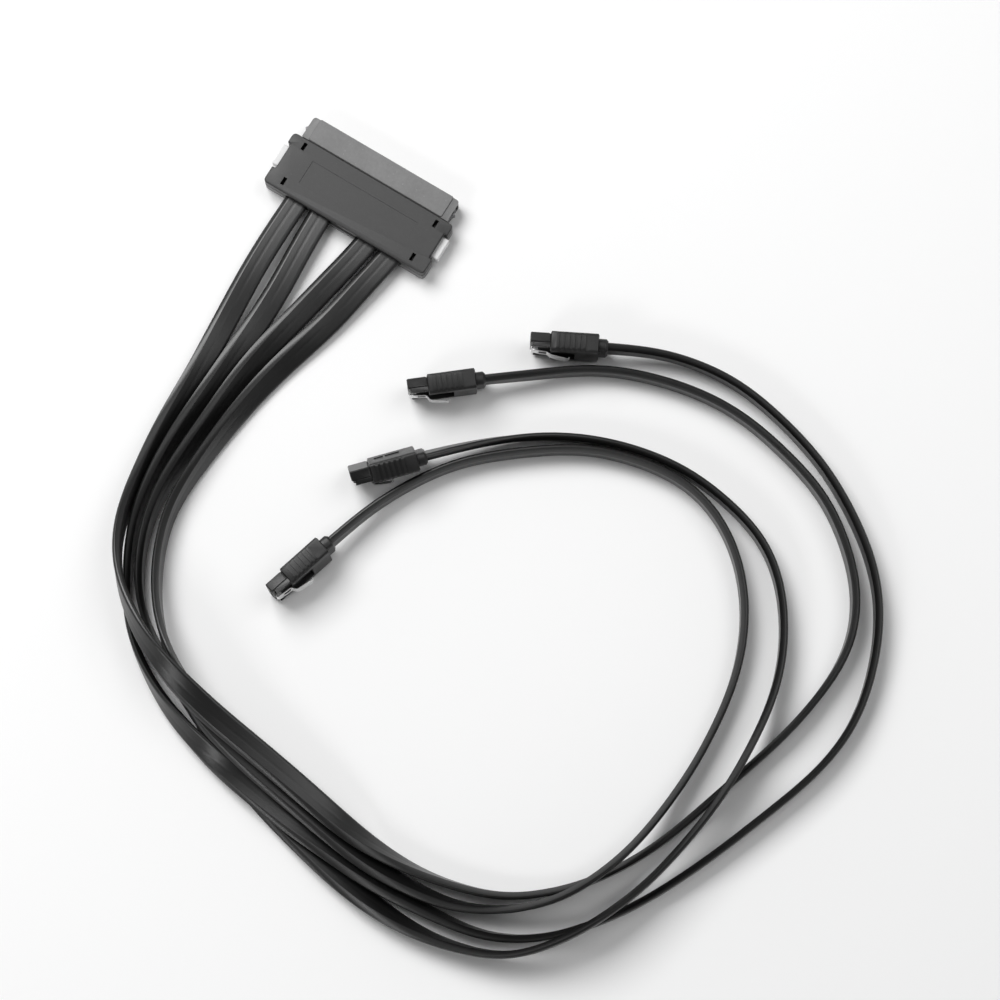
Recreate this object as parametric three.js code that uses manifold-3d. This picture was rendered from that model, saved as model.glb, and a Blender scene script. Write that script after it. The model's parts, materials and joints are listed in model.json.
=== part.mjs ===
import * as THREE from 'three';
import { mergeVertices } from 'three/addons/utils/BufferGeometryUtils.js';
import ManifoldModule from 'manifold-3d';

// Four-lane breakout cable assembly, in millimetres, +Z up.
// Origin: under the middle of the wide connector, on the surface that everything lies on.
// +X runs along the connector, +Y is its mating direction.

const kernel = await ManifoldModule();
kernel.setup();

// Clearances
const FIT_GAP = 0.3;
const PART_GAP = 0.3;
const CUT_MARGIN = 0.5;

// Connector housing
const HOUSING_LENGTH = 60.8;
const HOUSING_DEPTH = 19.2;
const HOUSING_HEIGHT = 7.4;
const HOUSING_CORNER = 1.6;
const EDGE_BEVEL = 0.3;
const PARTING_HEIGHT = 3.9;
const FLOOR_THICKNESS = 1.2;
const LID_THICKNESS = 1.4;
const END_WALL = 2.2;
const FRONT_WALL = 1.6;
const NOTCH_DEPTH = 1.2;
const NOTCH_REAR = -3.8;
const NOTCH_FRONT = 5.6;
const NOTCH_CORNER = 0.4;

// Cable outlet in the rear wall
const OUTLET_INSET = 8.4;

// Snap slots in the lid and the posts that rise into them
const SLOT_WIDTH = 1.2;
const SLOT_LENGTH = 2.7;
const POST_DROP = 2.5;
const FRONT_SLOT_INSET = 5.4;
const FRONT_SLOT_Y = 7.0;
const REAR_SLOT_INSET = 5.9;
const REAR_SLOT_Y = -6.3;

// Label recess in the lid
const LABEL_INSET = 10.4;
const LABEL_WIDTH = 8.6;
const LABEL_DEPTH = 0.15;

// Mating nose
const NOSE_PROTRUSION = 8.05;
const NOSE_INSET = 4.95;
const NOSE_BOTTOM = 1.0;
const NOSE_DROP = 0.7;
const NOSE_CORNER = 0.8;
const END_BLOCK_LENGTH = 2.25;
const END_BLOCK_SETBACK = 0.25;
const END_BLOCK_CORNER = 1.3;
const END_BLOCK_WALL = 1.25;
const END_BLOCK_BOTTOM = 1.3;
const END_BLOCK_DROP = 1.05;
const END_BLOCK_FLOOR = 0.6;
const END_BLOCK_ROOF = 0.45;
const NECK_INSET = 7.4;
const NECK_BOTTOM = 1.8;
const NECK_ROOF = 0.6;
const NECK_REAR = 2.3;
const BLADE_SLOT_INSET = 7.9;
const BLADE_SLOT_BOTTOM = 2.6;
const BLADE_SLOT_TOP = 5.0;

// Lane contacts
const LANES = 4;
const BEAMS_PER_ROW = 4;
const BEAM_WIDTH = 0.9;
const BEAM_THICKNESS = 0.3;
const BEAM_PITCH = 2.6;
const BEAM_TIP_SETBACK = 1.1;
const CONTACT_BAR_DEPTH = 2.0;

// Cable clamp and conductor ends
const CLAMP_INSET = 8.7;
const CLAMP_DEPTH = 2.9;
const CORES_PER_LANE = 4;
const CORE_DIAMETER = 0.8;
const CORE_PITCH = 1.8;
const CORE_BLOCK_LENGTH = 7.2;
const CORE_BLOCK_DEPTH = 1.0;
const CORE_BLOCK_HEIGHT = 2.2;

// Flat cable
const CABLE_WIDTH = 8.0;
const CABLE_THICKNESS = 2.4;
const CABLE_CHAMFER = 0.6;
const CABLE_HEIGHT = 3.7;
const CABLE_START = -6.5;
const CABLE_STEPS = 100;
const LANE_SIDES = [-1, -1, 1, 1];
const LANE_INSETS = [12.5, 21.4, 21.4, 12.7];
const LEAD_POINTS = 5;

// Side latches
const LATCH_STRIP = 0.5;
const LATCH_BOTTOM = 2.3;
const LATCH_DROP = 1.9;
const LATCH_INSET = 3.05;
const LATCH_ROOT_Y = -6.6;
const LATCH_ROOT_RADIUS = 0.55;
const LATCH_HOOK_REACH = 0.85;
const LATCH_HOOK_Y = 13.3;
const LATCH_HOOK_RAMP = 1.2;
const LATCH_END_Y = 15.2;
const LATCH_WINDOW_ROOM = 0.45;
const LATCH_SWING_ROOM = 1.2;
const TAB_OVERHANG = 1.2;
const TAB_REAR = -2.6;
const TAB_FRONT = 5.0;
const TAB_CORNER = 0.5;

// Plug overmould
const BODY_LENGTH = 15.5;
const BODY_THICKNESS = 6.6;
const BODY_WIDTH = 14;
const BODY_CORNER = 1.1;
const RIB_DEPTH = 0.45;
const RIB_WIDTH = 0.85;
const RIB_PITCH = 1.7;
const RIB_COUNT = 6;
const RIB_FRONT_MARGIN = 1.9;
const PLUG_NECK_LENGTH = 3.0;
const PLUG_NECK_THICKNESS = 4.4;
const PLUG_NECK_WIDTH = 10.2;
const PLUG_NECK_CORNER = 1.9;
const PLUG_NECK_BEVEL = 0.7;
const POCKET_LENGTH = 8.0;
const POCKET_WIDTH = 8.0;
const POCKET_DEPTH = 1.4;
const PANEL_DEPTH = 0.3;
const PANEL_WIDTH = 5.0;
const PANELS = [
  { length: 3.0, setback: 2.2 },
  { length: 4.7, setback: 5.8 },
];

// Plug contact carrier
const TONGUE_PROTRUSION = 6.5;
const TONGUE_WIDTH = 12;
const TONGUE_LOW = -2.6;
const TONGUE_HIGH = 0.7;
const TAIL_DEPTH = 3.4;
const TAIL_WIDTH = 10.6;
const TAIL_LOW = -1.9;
const TAIL_HIGH = 0.9;
const KEY_SLOT_WIDTH = 10.2;
const KEY_SLOT_LOW = -1.1;
const KEY_SLOT_HIGH = 0.2;
const KEY_FOOT_WIDTH = 1.2;
const KEY_FOOT_DEPTH = 0.8;
const RAIL_WIDTH = 0.9;
const RAIL_TOP = 2.2;
const RAIL_GROOVE = 0.3;

// Plug contacts
const PLUG_CONTACTS = 7;
const PLUG_CONTACT_PITCH = 1.27;
const PLUG_CONTACT_WIDTH = 0.6;
const PLUG_CONTACT_THICKNESS = 0.25;
const PLUG_CONTACT_SETBACK = 0.8;
const PLUG_BAR_DEPTH = 1.0;
const PLUG_BAR_WIDTH = 9.2;
const PLUG_BAR_HEIGHT = 0.8;

// Plug latch spring: folded back at the tip, free end over the overmould's pocket
const SPRING_THICKNESS = 0.35;
const SPRING_WIDTH = 4.4;
const SPRING_FOLD_SETBACK = 0.35;
const SPRING_FOLD = 1.05;
const SPRING_ROOT_LENGTH = 1.2;
const SPRING_BACK_RISE = 0.6;
const SPRING_END_SETBACK = 6.4;

// Where each plug lies: middle of its overmould, heading and lean in degrees, and how far its
// spring stands off the overmould
const PLUGS = [
  { x: 84.4, y: -4.6, heading: -152.5, lean: 0, standOff: 1.2 },
  { x: 57.3, y: -35.6, heading: -140.8, lean: 3, standOff: 2 },
  { x: 55.2, y: -67.8, heading: -133, lean: 22, standOff: 1.8 },
  { x: 48.4, y: -109.5, heading: -106.3, lean: -3.5, standOff: 2 },
];

// Cable centre lines: x, y, z and roll in degrees, from the connector to the plug.
// Roll 0 lies flat, -270 stands on edge.
const ROUTE_1 = [
  [-17.9, -6.5, 3.7, 0], [-18.3, -20, 3.7, -1], [-18, -37, 3.7, -4], [-16.5, -57, 2.9, -14],
  [-15, -79, 3.1, -34], [-15, -90.5, 3.6, -45], [-13, -110, 5.4, -64], [-10, -126, 8.4, -78],
  [-5, -137, 11.2, -88], [2.5, -146, 12.9, -98], [11.5, -152.5, 15.2, -112], [22, -158.5, 17.2, -135],
  [35, -162.5, 15.9, -158], [48.5, -165.5, 13.3, -176], [70, -168.5, 11.1, -185],
  [89, -171.5, 10.1, -196], [104.5, -174, 8, -213], [116, -174.5, 5.7, -236], [126.5, -174, 4.5, -252],
  [136.5, -172.5, 4.1, -262], [155, -167, 4.1, -265], [169, -156.5, 4.1, -268],
  [176.5, -148.5, 4.1, -270], [186, -133.5, 4.1, -270], [192, -119, 4.1, -270], [199, -97, 4.1, -270],
  [204.5, -80, 4.1, -270], [208, -63, 4.1, -270], [209, -45.5, 4.1, -268], [204.5, -31, 4.1, -267],
  [195.5, -19, 4.1, -266], [179, -6, 4.1, -267], [162, 0, 4.1, -268], [142, 4, 4.1, -270],
  [123.5, 3, 4.1, -270], [103.5, -2.5, 4.1, -270], [90, -9.5, 4.3, -270], [77.5, -19.5, 5.6, -271],
  [70.5, -24.9, 6.95, -272], [65.9, -28.6, 7.2, -273],
];
const ROUTE_2 = [
  [-9, -6.5, 3.7, 0], [-8.7, -20, 3.65, 0], [-7.5, -36.5, 3.2, -4], [-7.5, -50, 2.9, -14],
  [-8.5, -73.5, 3.1, -38], [-9.5, -90.5, 3.6, -51], [-9.5, -103, 3.8, -62], [-8.5, -115, 4.1, -72],
  [-6, -126.5, 4.1, -81], [-2, -136, 4.1, -88], [7.5, -151.5, 4.1, -92], [14, -158.5, 4.1, -93],
  [24.5, -165.5, 4.2, -97], [33, -170, 4.2, -110], [41.5, -173, 4, -128], [53, -176, 4.7, -148],
  [66, -178, 4.5, -176], [83.5, -180.5, 4.5, -190], [97.5, -181.5, 4.5, -204], [114, -183, 3.7, -222],
  [124.5, -183.5, 3.9, -237], [152.5, -181, 4.2, -258], [161.5, -178, 4.1, -262],
  [173, -171, 4.1, -266], [185, -158, 4.1, -270], [193.5, -145.5, 4.1, -270], [203, -126.5, 4.1, -270],
  [212, -104, 4.1, -270], [220, -81, 4.1, -270], [222, -61.5, 4.1, -270], [217.5, -42, 4.1, -269],
  [210.5, -27, 4.1, -268], [201, -15.5, 4.1, -267], [188, -5.5, 4.1, -267], [172, 3.5, 4.1, -268],
  [153, 9.5, 4.1, -270], [133.5, 12.5, 4.2, -271], [113, 9.5, 4.9, -273], [99.5, 3.3, 6.85, -271],
  [94.2, 0.5, 7.05, -270],
];
const ROUTE_3 = [
  [9, -6.5, 3.7, 0], [8.9, -10.5, 3.7, 0], [6.5, -21.5, 3.7, -3], [3, -38.5, 2.9, -14],
  [-2, -64, 3.1, -37], [-3.5, -87, 3.6, -52], [-4.5, -100, 3.8, -62], [-4.5, -112.5, 4.1, -71],
  [-2.5, -124.5, 4.1, -80], [2.5, -136.5, 4.1, -86], [8.5, -146, 4.1, -89], [20, -155.5, 4, -100],
  [28, -160, 3.6, -122], [35.5, -162.5, 2.9, -148], [43.5, -165.5, 2.3, -165],
  [68.5, -177.5, 1.6, -178], [94, -184.5, 2.2, -194], [113, -188.5, 2.8, -207],
  [128.5, -190, 3.7, -228], [144.5, -189, 4.2, -252], [164.5, -183, 7.3, -266],
  [174, -174.5, 10.7, -269], [182.5, -162.5, 13.2, -270], [187, -153, 12.6, -270],
  [192, -140, 11, -270], [196, -121, 10.6, -270], [198, -105, 12.6, -270], [198, -91, 12, -270],
  [197, -75.5, 7.5, -270], [194, -61, 5, -270], [186.5, -45.5, 4.1, -269], [176, -33, 4.1, -268],
  [163.5, -25.5, 4.1, -269], [142, -21, 4.1, -270], [126.5, -21.5, 4.1, -271],
  [109.5, -25.5, 4.1, -273], [93, -33, 4.3, -277], [78.5, -43.8, 5.3, -284], [66.8, -55.4, 7.55, -291],
  [62.7, -59.7, 7.75, -292],
];
const ROUTE_4 = [
  [17.7, -6.5, 3.7, 0], [17.6, -10.5, 3.7, 0], [15, -21.5, 3.7, -3], [12.5, -37, 2.9, -13],
  [6, -61, 3.1, -37], [2.5, -83, 3.6, -52], [1, -109.5, 4.1, -71], [2.5, -121.5, 4.1, -79],
  [7.5, -133.5, 5, -82], [12, -141, 7, -84], [18.5, -149, 9.6, -88], [26.5, -156, 12.5, -98],
  [33.5, -161, 11.8, -122], [41, -164.5, 10.2, -152], [50, -168, 9.1, -174], [70.5, -172.5, 8, -184],
  [90.5, -175.5, 6.8, -194], [113.5, -179, 5.4, -216], [128, -179, 4.5, -236], [140, -178, 4.2, -250],
  [149, -175, 4.8, -258], [157.5, -170.5, 6.2, -264], [167.5, -162.5, 9.3, -268],
  [174, -154, 12.9, -270], [179, -143.5, 14, -270], [183, -129.5, 9.6, -270], [185.5, -108.5, 5.2, -270],
  [185.5, -91, 4.1, -270], [183, -70.5, 4.1, -270], [176, -52, 4.1, -269], [164.5, -37, 4.1, -268],
  [150.5, -27.5, 4.1, -269], [135, -24, 4.1, -270], [116, -27, 4.1, -270], [99.5, -34, 4.1, -270],
  [74.5, -53.5, 4.1, -270], [63.5, -68.5, 4.3, -270], [56.5, -82.5, 5.4, -269],
  [53.2, -93.2, 6.95, -267], [51.5, -98.9, 7.2, -266.5],
];
const ROUTES = [ROUTE_1, ROUTE_2, ROUTE_3, ROUTE_4];

// Materials
const coverPlastic = () => new THREE.MeshStandardMaterial({ color: 0x48484a, roughness: 0.62, metalness: 0 });
const shellPlastic = () => new THREE.MeshStandardMaterial({ color: 0x6a6a6c, roughness: 0.6, metalness: 0 });
const nosePlastic = () => new THREE.MeshStandardMaterial({ color: 0x707072, roughness: 0.58, metalness: 0 });
const cableJacket = () => new THREE.MeshStandardMaterial({ color: 0x1d1d1f, roughness: 0.42, metalness: 0 });
const plugRubber = () => new THREE.MeshStandardMaterial({ color: 0x2b2b2d, roughness: 0.6, metalness: 0 });
const carrierPlastic = () => new THREE.MeshStandardMaterial({ color: 0x2a2a2c, roughness: 0.5, metalness: 0 });
const springSteel = () => new THREE.MeshStandardMaterial({ color: 0xc4c6c8, roughness: 0.3, metalness: 0.9 });
const tabPlastic = () => new THREE.MeshStandardMaterial({ color: 0xd6d6d6, roughness: 0.45, metalness: 0 });
const contactBrass = () => new THREE.MeshStandardMaterial({ color: 0xcaa658, roughness: 0.35, metalness: 0.9 });
const coreInsulation = () => new THREE.MeshStandardMaterial({ color: 0xb8b8ba, roughness: 0.5, metalness: 0 });

const root = new THREE.Group();

// Solid helpers
function solid(geometry) {
  const bare = new THREE.BufferGeometry();
  bare.setAttribute('position', geometry.getAttribute('position'));
  if (geometry.index) bare.setIndex(geometry.index);
  const welded = mergeVertices(bare, 1e-4);
  const mesh = new kernel.Mesh({
    numProp: 3,
    vertProperties: new Float32Array(welded.getAttribute('position').array),
    triVerts: new Uint32Array(welded.index.array),
  });
  mesh.merge();
  return new kernel.Manifold(mesh);
}

function geometryOf(body) {
  const mesh = body.getMesh();
  const indexed = new THREE.BufferGeometry();
  indexed.setAttribute('position', new THREE.BufferAttribute(mesh.vertProperties, 3));
  indexed.setIndex(new THREE.BufferAttribute(mesh.triVerts, 1));
  const flat = indexed.toNonIndexed();
  flat.computeVertexNormals();
  return flat;
}

function block(x0, x1, y0, y1, z0, z1) {
  const box = new THREE.BoxGeometry(x1 - x0, y1 - y0, z1 - z0);
  box.translate((x0 + x1) / 2, (y0 + y1) / 2, (z0 + z1) / 2);
  return solid(box);
}

// Outline whose corners are rounded by the third value of each point
function roundedOutline(points) {
  const shape = new THREE.Shape();
  points.forEach(([x, y, radius], i) => {
    const before = points[(i + points.length - 1) % points.length];
    const after = points[(i + 1) % points.length];
    const here = new THREE.Vector2(x, y);
    const toBefore = new THREE.Vector2(before[0] - x, before[1] - y).normalize();
    const toAfter = new THREE.Vector2(after[0] - x, after[1] - y).normalize();
    const start = here.clone().addScaledVector(toBefore, radius);
    const end = here.clone().addScaledVector(toAfter, radius);
    if (i === 0) shape.moveTo(start.x, start.y);
    else shape.lineTo(start.x, start.y);
    if (radius > 0) shape.quadraticCurveTo(x, y, end.x, end.y);
  });
  shape.closePath();
  return shape;
}

function rectangle(x0, x1, y0, y1, radius) {
  return roundedOutline([[x1, y0, radius], [x1, y1, radius], [x0, y1, radius], [x0, y0, radius]]);
}

// Plate between two heights with bevelled edges
function plate(shape, z0, z1, bevel, curveSegments = 4) {
  const geometry = new THREE.ExtrudeGeometry(shape, {
    depth: z1 - z0 - 2 * bevel,
    bevelEnabled: bevel > 0,
    bevelThickness: bevel,
    bevelSize: bevel,
    bevelOffset: -bevel,
    bevelSegments: 1,
    curveSegments,
  });
  geometry.translate(0, 0, z0 + bevel);
  return solid(geometry);
}

function node(name, geometry, material, parent = root) {
  const mesh = new THREE.Mesh(geometry, material);
  mesh.name = name;
  parent.add(mesh);
  return mesh;
}

// Strip of constant thickness along a polyline in a plane
function stripShape(points, thickness) {
  const left = [];
  const right = [];
  points.forEach((point, i) => {
    const here = new THREE.Vector2(...point);
    const before = new THREE.Vector2(...points[Math.max(i - 1, 0)]);
    const after = new THREE.Vector2(...points[Math.min(i + 1, points.length - 1)]);
    const incoming = i > 0 ? here.clone().sub(before).normalize() : after.clone().sub(here).normalize();
    const outgoing = i < points.length - 1 ? after.clone().sub(here).normalize() : incoming;
    const bisector = incoming.clone().add(outgoing).normalize();
    const reach = thickness / 2 / bisector.dot(incoming);
    const across = new THREE.Vector2(-bisector.y, bisector.x).multiplyScalar(reach);
    left.push(here.clone().add(across));
    right.unshift(here.clone().sub(across));
  });
  return new THREE.Shape([...right, ...left].reverse());
}

// Housing levels
const halfLength = HOUSING_LENGTH / 2;
const halfDepth = HOUSING_DEPTH / 2;
const lidBottom = PARTING_HEIGHT + PART_GAP;
const lidInside = HOUSING_HEIGHT - LID_THICKNESS;
const postTop = HOUSING_HEIGHT - POST_DROP;
const noseTop = HOUSING_HEIGHT - NOSE_DROP;
const endBlockTop = HOUSING_HEIGHT - END_BLOCK_DROP;
const neckTop = BLADE_SLOT_TOP + NECK_ROOF;
const latchTop = HOUSING_HEIGHT - LATCH_DROP;
const clampTop = lidInside - FIT_GAP;
const outletFloor = CABLE_HEIGHT - CABLE_THICKNESS / 2 - FIT_GAP;
const outletRoof = CABLE_HEIGHT + CABLE_THICKNESS / 2 + FIT_GAP;
const cavityX = halfLength - END_WALL;
const cavityY = halfDepth - FRONT_WALL;
const notchX = halfLength - NOTCH_DEPTH;
const noseRear = halfDepth + FIT_GAP;
const noseFront = halfDepth + FIT_GAP + NOSE_PROTRUSION;
const neckHalf = halfLength - NECK_INSET;
const noseHalf = halfLength - NOSE_INSET;
const endBlockHalf = noseHalf + END_BLOCK_LENGTH;
const bladeSlotHalf = halfLength - BLADE_SLOT_INSET;
const outletHalf = halfLength - OUTLET_INSET;
const labelHalf = halfLength - LABEL_INSET;
const clampHalf = halfLength - CLAMP_INSET;
const latchLine = halfLength - LATCH_INSET;
const laneX = LANE_INSETS.map((inset, i) => LANE_SIDES[i] * (halfLength - inset));
const snapSlots = [-1, 1].flatMap((side) => [
  [side * (halfLength - FRONT_SLOT_INSET), FRONT_SLOT_Y],
  [side * (halfLength - REAR_SLOT_INSET), REAR_SLOT_Y],
]);

function housingOutline() {
  return roundedOutline([
    [halfLength, -halfDepth, HOUSING_CORNER], [halfLength, NOTCH_REAR, NOTCH_CORNER],
    [notchX, NOTCH_REAR, NOTCH_CORNER], [notchX, NOTCH_FRONT, NOTCH_CORNER],
    [halfLength, NOTCH_FRONT, NOTCH_CORNER], [halfLength, halfDepth, HOUSING_CORNER],
    [-halfLength, halfDepth, HOUSING_CORNER], [-halfLength, NOTCH_FRONT, NOTCH_CORNER],
    [-notchX, NOTCH_FRONT, NOTCH_CORNER], [-notchX, NOTCH_REAR, NOTCH_CORNER],
    [-halfLength, NOTCH_REAR, NOTCH_CORNER], [-halfLength, -halfDepth, HOUSING_CORNER],
  ]);
}

// Windows of one side latch through the front and side walls
const latchInner = latchLine - LATCH_STRIP / 2;
const latchOuter = latchLine + LATCH_STRIP / 2;
const windowInner = latchInner - LATCH_SWING_ROOM;
const windowRear = TAB_REAR - LATCH_WINDOW_ROOM;
const windowFront = TAB_FRONT + LATCH_WINDOW_ROOM;

function latchWindows(side, z0, z1) {
  const front = [side * windowInner, side * cavityX].sort((a, b) => a - b);
  const flank = [side * (cavityX - CUT_MARGIN), side * (halfLength + CUT_MARGIN)].sort((a, b) => a - b);
  return [
    block(front[0], front[1], cavityY - CUT_MARGIN, halfDepth + CUT_MARGIN, z0, z1),
    block(flank[0], flank[1], windowRear, windowFront, z0, z1),
  ];
}

function cutAll(body, cutters) {
  return cutters.reduce((rest, cutter) => rest.subtract(cutter), body);
}

// Upper cover
function upperCover() {
  const lid = plate(housingOutline(), lidBottom, HOUSING_HEIGHT, EDGE_BEVEL);
  const low = lidBottom - CUT_MARGIN;
  const high = latchTop + FIT_GAP;
  const cutters = [
    block(-cavityX, cavityX, -cavityY, cavityY, low, lidInside),
    block(-outletHalf, outletHalf, -halfDepth - CUT_MARGIN, 0, low, outletRoof),
    block(-neckHalf - FIT_GAP, neckHalf + FIT_GAP, 0, halfDepth + CUT_MARGIN, low, neckTop + FIT_GAP),
    ...latchWindows(1, low, high),
    ...latchWindows(-1, low, high),
    block(-labelHalf, labelHalf, -LABEL_WIDTH / 2, LABEL_WIDTH / 2,
      HOUSING_HEIGHT - LABEL_DEPTH, HOUSING_HEIGHT + CUT_MARGIN),
    ...snapSlots.map(([x, y]) => block(x - SLOT_WIDTH / 2, x + SLOT_WIDTH / 2,
      y - SLOT_LENGTH / 2, y + SLOT_LENGTH / 2, low, HOUSING_HEIGHT + CUT_MARGIN)),
  ];
  return geometryOf(cutAll(lid, cutters));
}

// Lower shell with its snap posts
function lowerShell() {
  const tray = plate(housingOutline(), 0, PARTING_HEIGHT, EDGE_BEVEL);
  const high = PARTING_HEIGHT + CUT_MARGIN;
  const low = LATCH_BOTTOM - FIT_GAP;
  const cutters = [
    block(-cavityX, cavityX, -cavityY, cavityY, FLOOR_THICKNESS, high),
    block(-outletHalf, outletHalf, -halfDepth - CUT_MARGIN, 0, outletFloor, high),
    block(-neckHalf - FIT_GAP, neckHalf + FIT_GAP, 0, halfDepth + CUT_MARGIN, NECK_BOTTOM - FIT_GAP, high),
    ...latchWindows(1, low, high),
    ...latchWindows(-1, low, high),
  ];
  const postX = SLOT_WIDTH / 2 - FIT_GAP;
  const postY = SLOT_LENGTH / 2 - FIT_GAP;
  const posts = snapSlots.map(([x, y]) => block(x - postX, x + postX, y - postY, y + postY,
    FLOOR_THICKNESS - CUT_MARGIN, postTop));
  const open = cutAll(tray, cutters);
  return geometryOf(posts.reduce((body, post) => body.add(post), open));
}

// Mating nose with its blade slot and the channels beside it for the latch arms
function matingNose() {
  const bar = plate(rectangle(-noseHalf, noseHalf, noseRear, noseFront, NOSE_CORNER),
    NOSE_BOTTOM, noseTop, EDGE_BEVEL);
  const neck = block(-neckHalf, neckHalf, NECK_REAR, noseRear + CUT_MARGIN, NECK_BOTTOM, neckTop);
  const frontY = noseFront - END_BLOCK_SETBACK;
  const channelEnd = frontY - END_BLOCK_WALL;
  const root = noseHalf - CUT_MARGIN;
  const outline = roundedOutline([
    [endBlockHalf, noseRear, EDGE_BEVEL], [endBlockHalf, frontY, END_BLOCK_CORNER],
    [root, frontY, 0], [root, noseRear, 0],
  ]);
  const channel = block(noseHalf, endBlockHalf + CUT_MARGIN, noseRear - CUT_MARGIN, channelEnd,
    END_BLOCK_BOTTOM + END_BLOCK_FLOOR, endBlockTop - END_BLOCK_ROOF);
  const endBlock = plate(outline, END_BLOCK_BOTTOM, endBlockTop, 0).subtract(channel);
  const joined = bar.add(neck).add(endBlock).add(endBlock.mirror([1, 0, 0]));
  const slot = block(-bladeSlotHalf, bladeSlotHalf, NECK_REAR - CUT_MARGIN,
    noseFront + CUT_MARGIN, BLADE_SLOT_BOTTOM, BLADE_SLOT_TOP);
  return geometryOf(joined.subtract(slot));
}

// One lane's contacts, joined by the bar that holds them in the rear of the blade slot
const contactBarRear = NECK_REAR + FIT_GAP;
const contactLow = BLADE_SLOT_BOTTOM + FIT_GAP;
const contactHigh = BLADE_SLOT_TOP - FIT_GAP;
const laneWidth = 2 * bladeSlotHalf / LANES;

function laneContacts(index) {
  const centre = -bladeSlotHalf + (index + 0.5) * laneWidth;
  const half = laneWidth / 2 - FIT_GAP;
  let body = block(centre - half, centre + half, contactBarRear, contactBarRear + CONTACT_BAR_DEPTH,
    contactLow, contactHigh);
  const tip = noseFront - BEAM_TIP_SETBACK;
  for (let i = 0; i < BEAMS_PER_ROW; i += 1) {
    const x = centre + (i - (BEAMS_PER_ROW - 1) / 2) * BEAM_PITCH;
    const rear = contactBarRear + CONTACT_BAR_DEPTH / 2;
    body = body.add(block(x - BEAM_WIDTH / 2, x + BEAM_WIDTH / 2, rear, tip,
      contactLow, contactLow + BEAM_THICKNESS));
    body = body.add(block(x - BEAM_WIDTH / 2, x + BEAM_WIDTH / 2, rear, tip,
      contactHigh - BEAM_THICKNESS, contactHigh));
  }
  return geometryOf(body);
}

// Clamp bar that grips the cable ends inside the rear opening
const clampRear = CABLE_START + FIT_GAP;
const clampFront = clampRear + CLAMP_DEPTH;
const clampBottom = FLOOR_THICKNESS + FIT_GAP;

function clampBar() {
  const shape = rectangle(-clampHalf, clampHalf, clampRear, clampFront, EDGE_BEVEL);
  return geometryOf(plate(shape, clampBottom, clampTop, EDGE_BEVEL, 1));
}

// Stripped conductor ends of one cable, on the stub of insulation that leaves the clamp bar
function coreEnds(index) {
  const x = laneX[index];
  const rear = clampFront + FIT_GAP;
  const z0 = CABLE_HEIGHT - CORE_BLOCK_HEIGHT / 2;
  let body = block(x - CORE_BLOCK_LENGTH / 2, x + CORE_BLOCK_LENGTH / 2, rear, rear + CORE_BLOCK_DEPTH,
    z0, z0 + CORE_BLOCK_HEIGHT);
  const length = contactBarRear - FIT_GAP - rear - CORE_BLOCK_DEPTH / 2;
  for (let i = 0; i < CORES_PER_LANE; i += 1) {
    const wire = new THREE.CylinderGeometry(CORE_DIAMETER / 2, CORE_DIAMETER / 2, length, 10);
    wire.translate(x + (i - (CORES_PER_LANE - 1) / 2) * CORE_PITCH,
      rear + CORE_BLOCK_DEPTH / 2 + length / 2, CABLE_HEIGHT);
    body = body.add(solid(wire));
  }
  return geometryOf(body);
}

// Side latch: one steel strip from its root pin to the hook beside the nose
function sideLatch() {
  const line = [
    [latchLine, LATCH_ROOT_Y], [latchLine, LATCH_HOOK_Y - LATCH_HOOK_RAMP],
    [latchLine + LATCH_HOOK_REACH, LATCH_HOOK_Y], [latchLine, LATCH_HOOK_Y + LATCH_HOOK_RAMP],
    [latchLine, LATCH_END_Y],
  ];
  const strip = plate(stripShape(line, LATCH_STRIP), LATCH_BOTTOM, latchTop, 0);
  const pin = new THREE.CylinderGeometry(LATCH_ROOT_RADIUS, LATCH_ROOT_RADIUS,
    lidInside - FLOOR_THICKNESS - 2 * FIT_GAP, 16);
  pin.rotateX(Math.PI / 2);
  pin.translate(latchLine, LATCH_ROOT_Y, (lidInside + FLOOR_THICKNESS) / 2);
  return strip.add(solid(pin));
}

// Thumb tab on the latch's outer face, standing out of the window in the notch
function thumbTab() {
  return plate(rectangle(latchOuter + FIT_GAP, halfLength + TAB_OVERHANG, TAB_REAR, TAB_FRONT, TAB_CORNER),
    LATCH_BOTTOM, latchTop, EDGE_BEVEL);
}

node('upper_cover', upperCover(), coverPlastic());
node('lower_shell', lowerShell(), shellPlastic());
node('mating_nose', matingNose(), nosePlastic());
node('cable_clamp_bar', clampBar(), carrierPlastic());
[[1, 'right'], [-1, 'left']].forEach(([side, name]) => {
  const onSide = (body) => geometryOf(side > 0 ? body : body.mirror([1, 0, 0]));
  node(`side_latch_${name}`, onSide(sideLatch()), springSteel());
  node(`thumb_tab_${name}`, onSide(thumbTab()), tabPlastic());
});
for (let i = 0; i < LANES; i += 1) {
  node(`lane_contacts_${i + 1}`, laneContacts(i), contactBrass());
  node(`core_ends_${i + 1}`, coreEnds(i), coreInsulation());
}

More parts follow.
